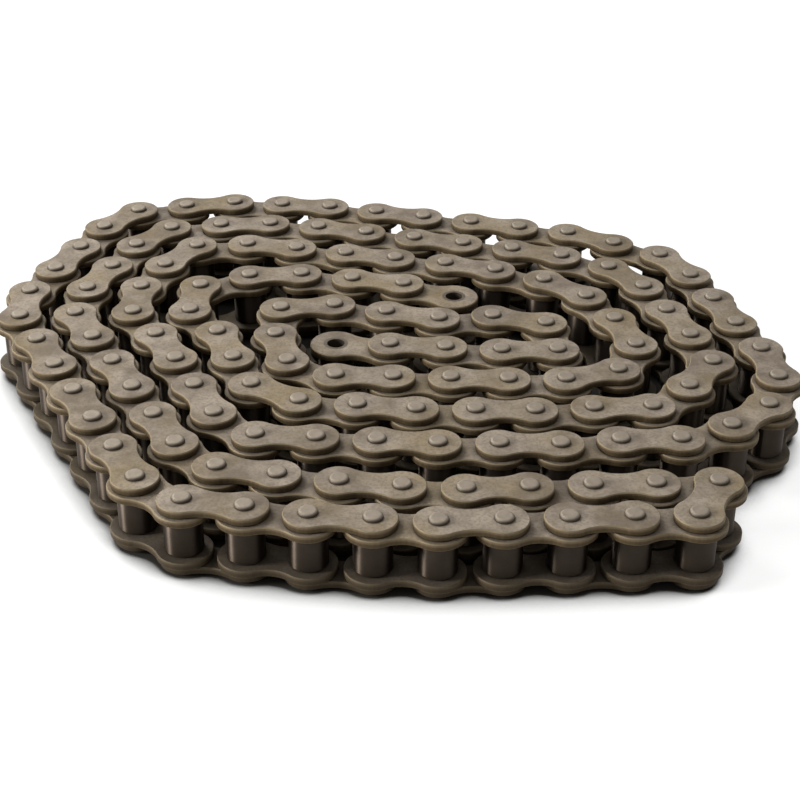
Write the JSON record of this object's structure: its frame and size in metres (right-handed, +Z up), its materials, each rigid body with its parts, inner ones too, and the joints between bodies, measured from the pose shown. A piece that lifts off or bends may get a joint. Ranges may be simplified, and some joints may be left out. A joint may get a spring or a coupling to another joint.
{
  "type": "roller chain",
  "caption": "Riveted single-strand roller chain laid on its side, folded double and wound into a flat oval coil; waisted plates, pins, bushes and rollers.",
  "frame": {"origin": "on the table, under the middle of the coil's outline", "axes": "+Z up along the pins; +X to the right and -Y towards the viewer of the picture"},
  "size_m": [0.2762, 0.2366, 0.0249],
  "materials": {
    "plates": "shot-peened, lightly oiled",
    "pins": "satin",
    "bushes": "oiled",
    "rollers": "dark oiled"
  },
  "bodies": {
    "coil": {"outer_plates_upper": "plates", "outer_plates_lower": "plates", "inner_plates_upper": "plates", "inner_plates_lower": "plates", "pins": "pins", "bushes": "bushes", "rollers": "rollers"},
    "loop_a5": {"loop_a5_plates": "plates", "loop_a5_bushes": "bushes"},
    "loop_a5_roller_1": {"loop_a5_roller_1": "rollers"},
    "loop_a5_roller_2": {"loop_a5_roller_2": "rollers"},
    "loop_a4": {"loop_a4_plates": "plates", "loop_a4_pins": "pins"},
    "loop_a3": {"loop_a3_plates": "plates", "loop_a3_bushes": "bushes"},
    "loop_a3_roller_1": {"loop_a3_roller_1": "rollers"},
    "loop_a3_roller_2": {"loop_a3_roller_2": "rollers"},
    "loop_a2": {"loop_a2_plates": "plates", "loop_a2_pins": "pins"},
    "loop_a1": {"loop_a1_plates": "plates", "loop_a1_bushes": "bushes"},
    "loop_a1_roller_1": {"loop_a1_roller_1": "rollers"},
    "loop_a1_roller_2": {"loop_a1_roller_2": "rollers"},
    "loop_b5": {"loop_b5_plates": "plates", "loop_b5_bushes": "bushes"},
    "loop_b5_roller_1": {"loop_b5_roller_1": "rollers"},
    "loop_b5_roller_2": {"loop_b5_roller_2": "rollers"},
    "loop_b4": {"loop_b4_plates": "plates", "loop_b4_pins": "pins"},
    "loop_b3": {"loop_b3_plates": "plates", "loop_b3_bushes": "bushes"},
    "loop_b3_roller_1": {"loop_b3_roller_1": "rollers"},
    "loop_b3_roller_2": {"loop_b3_roller_2": "rollers"},
    "loop_b2": {"loop_b2_plates": "plates", "loop_b2_pins": "pins"},
    "loop_b1": {"loop_b1_plates": "plates", "loop_b1_bushes": "bushes"},
    "loop_b1_roller_1": {"loop_b1_roller_1": "rollers"},
    "loop_b1_roller_2": {"loop_b1_roller_2": "rollers"},
    "fold": {"fold_plates": "plates", "fold_pins": "pins"},
    "end_a2": {"end_a2_plates": "plates", "end_a2_pins": "pins"},
    "end_a1": {"end_a1_plates": "plates", "end_a1_bushes": "bushes"},
    "end_a1_roller_1": {"end_a1_roller_1": "rollers"},
    "end_a1_roller_2": {"end_a1_roller_2": "rollers"},
    "end_b2": {"end_b2_plates": "plates", "end_b2_pins": "pins"},
    "end_b1": {"end_b1_plates": "plates", "end_b1_bushes": "bushes"},
    "end_b1_roller_1": {"end_b1_roller_1": "rollers"},
    "end_b1_roller_2": {"end_b1_roller_2": "rollers"},
    "side_roller_1": {"side_roller_1": "rollers"},
    "side_roller_2": {"side_roller_2": "rollers"},
    "side_roller_3": {"side_roller_3": "rollers"},
    "side_roller_4": {"side_roller_4": "rollers"},
    "side_roller_5": {"side_roller_5": "rollers"},
    "side_roller_6": {"side_roller_6": "rollers"}
  },
  "joints": [
    {"name": "loop_a5_turn", "type": "hinge", "parent": "coil", "child": "loop_a5", "pos_m": [-0.00345, -0.10842, 0.01244], "axis": [0, 0, -1], "range_deg": [0, 12]},
    {"name": "loop_a5_roller_1_spin", "type": "hinge", "parent": "loop_a5", "child": "loop_a5_roller_1", "pos_m": [-0.00345, -0.10842, 0.01244], "axis": [0, 0, 1], "continuous": true},
    {"name": "loop_a5_roller_2_spin", "type": "hinge", "parent": "loop_a5", "child": "loop_a5_roller_2", "pos_m": [0.01557, -0.10954, 0.01244], "axis": [0, 0, 1], "continuous": true},
    {"name": "loop_a4_turn", "type": "hinge", "parent": "loop_a5", "child": "loop_a4", "pos_m": [0.01557, -0.10954, 0.01244], "axis": [0, 0, -1], "range_deg": [0, 12]},
    {"name": "loop_a3_turn", "type": "hinge", "parent": "loop_a4", "child": "loop_a3", "pos_m": [0.03457, -0.10826, 0.01244], "axis": [0, 0, -1], "range_deg": [0, 12]},
    {"name": "loop_a3_roller_1_spin", "type": "hinge", "parent": "loop_a3", "child": "loop_a3_roller_1", "pos_m": [0.03457, -0.10826, 0.01244], "axis": [0, 0, 1], "continuous": true},
    {"name": "loop_a3_roller_2_spin", "type": "hinge", "parent": "loop_a3", "child": "loop_a3_roller_2", "pos_m": [0.05358, -0.10697, 0.01244], "axis": [0, 0, 1], "continuous": true},
    {"name": "loop_a2_turn", "type": "hinge", "parent": "loop_a3", "child": "loop_a2", "pos_m": [0.05358, -0.10697, 0.01244], "axis": [0, 0, -1], "range_deg": [0, 12]},
    {"name": "loop_a1_turn", "type": "hinge", "parent": "loop_a2", "child": "loop_a1", "pos_m": [0.07259, -0.10569, 0.01244], "axis": [0, 0, -1], "range_deg": [0, 12]},
    {"name": "loop_a1_roller_1_spin", "type": "hinge", "parent": "loop_a1", "child": "loop_a1_roller_1", "pos_m": [0.07259, -0.10569, 0.01244], "axis": [0, 0, 1], "continuous": true},
    {"name": "loop_a1_roller_2_spin", "type": "hinge", "parent": "loop_a1", "child": "loop_a1_roller_2", "pos_m": [0.09159, -0.10441, 0.01244], "axis": [0, 0, 1], "continuous": true},
    {"name": "loop_b5_turn", "type": "hinge", "parent": "coil", "child": "loop_b5", "pos_m": [0.0049, -0.0913, 0.01244], "axis": [0, 0, -1], "range_deg": [0, 12]},
    {"name": "loop_b5_roller_1_spin", "type": "hinge", "parent": "loop_b5", "child": "loop_b5_roller_1", "pos_m": [0.0049, -0.0913, 0.01244], "axis": [0, 0, 1], "continuous": true},
    {"name": "loop_b5_roller_2_spin", "type": "hinge", "parent": "loop_b5", "child": "loop_b5_roller_2", "pos_m": [0.02392, -0.09242, 0.01244], "axis": [0, 0, 1], "continuous": true},
    {"name": "loop_b4_turn", "type": "hinge", "parent": "loop_b5", "child": "loop_b4", "pos_m": [0.02392, -0.09242, 0.01244], "axis": [0, 0, -1], "range_deg": [0, 12]},
    {"name": "loop_b3_turn", "type": "hinge", "parent": "loop_b4", "child": "loop_b3", "pos_m": [0.04292, -0.09113, 0.01244], "axis": [0, 0, -1], "range_deg": [0, 12]},
    {"name": "loop_b3_roller_1_spin", "type": "hinge", "parent": "loop_b3", "child": "loop_b3_roller_1", "pos_m": [0.04292, -0.09113, 0.01244], "axis": [0, 0, 1], "continuous": true},
    {"name": "loop_b3_roller_2_spin", "type": "hinge", "parent": "loop_b3", "child": "loop_b3_roller_2", "pos_m": [0.06193, -0.08985, 0.01244], "axis": [0, 0, 1], "continuous": true},
    {"name": "loop_b2_turn", "type": "hinge", "parent": "loop_b3", "child": "loop_b2", "pos_m": [0.06193, -0.08985, 0.01244], "axis": [0, 0, -1], "range_deg": [0, 12]},
    {"name": "loop_b1_turn", "type": "hinge", "parent": "loop_b2", "child": "loop_b1", "pos_m": [0.08094, -0.08857, 0.01244], "axis": [0, 0, -1], "range_deg": [0, 12]},
    {"name": "loop_b1_roller_1_spin", "type": "hinge", "parent": "loop_b1", "child": "loop_b1_roller_1", "pos_m": [0.08094, -0.08857, 0.01244], "axis": [0, 0, 1], "continuous": true},
    {"name": "loop_b1_roller_2_spin", "type": "hinge", "parent": "loop_b1", "child": "loop_b1_roller_2", "pos_m": [0.09994, -0.08729, 0.01244], "axis": [0, 0, 1], "continuous": true},
    {"name": "fold_turn", "type": "hinge", "parent": "loop_a1", "child": "fold", "pos_m": [0.09159, -0.10441, 0.01244], "axis": [0, 0, -1], "range_deg": [-60, 0]},
    {"name": "end_a2_turn", "type": "hinge", "parent": "coil", "child": "end_a2", "pos_m": [0.01935, -0.0066, 0.01244], "axis": [0, 0, 1], "range_deg": [-3, 3]},
    {"name": "end_a1_turn", "type": "hinge", "parent": "end_a2", "child": "end_a1", "pos_m": [0.00039, -0.00479, 0.01244], "axis": [0, 0, 1], "range_deg": [-7, 7]},
    {"name": "end_a1_roller_1_spin", "type": "hinge", "parent": "end_a1", "child": "end_a1_roller_1", "pos_m": [0.00039, -0.00479, 0.01244], "axis": [0, 0, 1], "continuous": true},
    {"name": "end_a1_roller_2_spin", "type": "hinge", "parent": "end_a1", "child": "end_a1_roller_2", "pos_m": [-0.01824, -0.00084, 0.01244], "axis": [0, 0, 1], "continuous": true},
    {"name": "end_b2_turn", "type": "hinge", "parent": "coil", "child": "end_b2", "pos_m": [-0.01387, 0.04401, 0.01244], "axis": [0, 0, 1], "range_deg": [-2.5, 2.5]},
    {"name": "end_b1_turn", "type": "hinge", "parent": "end_b2", "child": "end_b1", "pos_m": [0.0048, 0.04026, 0.01244], "axis": [0, 0, 1], "range_deg": [-6, 6]},
    {"name": "end_b1_roller_1_spin", "type": "hinge", "parent": "end_b1", "child": "end_b1_roller_1", "pos_m": [0.0048, 0.04026, 0.01244], "axis": [0, 0, 1], "continuous": true},
    {"name": "end_b1_roller_2_spin", "type": "hinge", "parent": "end_b1", "child": "end_b1_roller_2", "pos_m": [0.0231, 0.03496, 0.01244], "axis": [0, 0, 1], "continuous": true},
    {"name": "side_roller_1_spin", "type": "hinge", "parent": "coil", "child": "side_roller_1", "pos_m": [-0.02239, -0.10635, 0.01244], "axis": [0, 0, 1], "continuous": true},
    {"name": "side_roller_2_spin", "type": "hinge", "parent": "coil", "child": "side_roller_2", "pos_m": [-0.04114, -0.103, 0.01244], "axis": [0, 0, 1], "continuous": true},
    {"name": "side_roller_3_spin", "type": "hinge", "parent": "coil", "child": "side_roller_3", "pos_m": [-0.05989, -0.09962, 0.01244], "axis": [0, 0, 1], "continuous": true},
    {"name": "side_roller_4_spin", "type": "hinge", "parent": "coil", "child": "side_roller_4", "pos_m": [-0.07512, -0.08817, 0.01244], "axis": [0, 0, 1], "continuous": true},
    {"name": "side_roller_5_spin", "type": "hinge", "parent": "coil", "child": "side_roller_5", "pos_m": [-0.08414, -0.07139, 0.01244], "axis": [0, 0, 1], "continuous": true},
    {"name": "side_roller_6_spin", "type": "hinge", "parent": "coil", "child": "side_roller_6", "pos_m": [-0.09316, -0.05462, 0.01244], "axis": [0, 0, 1], "continuous": true}
  ],
  "couplings": [
    {"joint": "loop_a4_turn", "follows": "loop_a5_turn", "ratio": 1},
    {"joint": "loop_a3_turn", "follows": "loop_a5_turn", "ratio": 1},
    {"joint": "loop_a2_turn", "follows": "loop_a5_turn", "ratio": 1},
    {"joint": "loop_a1_turn", "follows": "loop_a5_turn", "ratio": 1},
    {"joint": "loop_b5_turn", "follows": "loop_a5_turn", "ratio": 1},
    {"joint": "loop_b4_turn", "follows": "loop_a5_turn", "ratio": 1},
    {"joint": "loop_b3_turn", "follows": "loop_a5_turn", "ratio": 1},
    {"joint": "loop_b2_turn", "follows": "loop_a5_turn", "ratio": 1},
    {"joint": "loop_b1_turn", "follows": "loop_a5_turn", "ratio": 1},
    {"joint": "fold_turn", "follows": "loop_a5_turn", "ratio": -5}
  ]
}
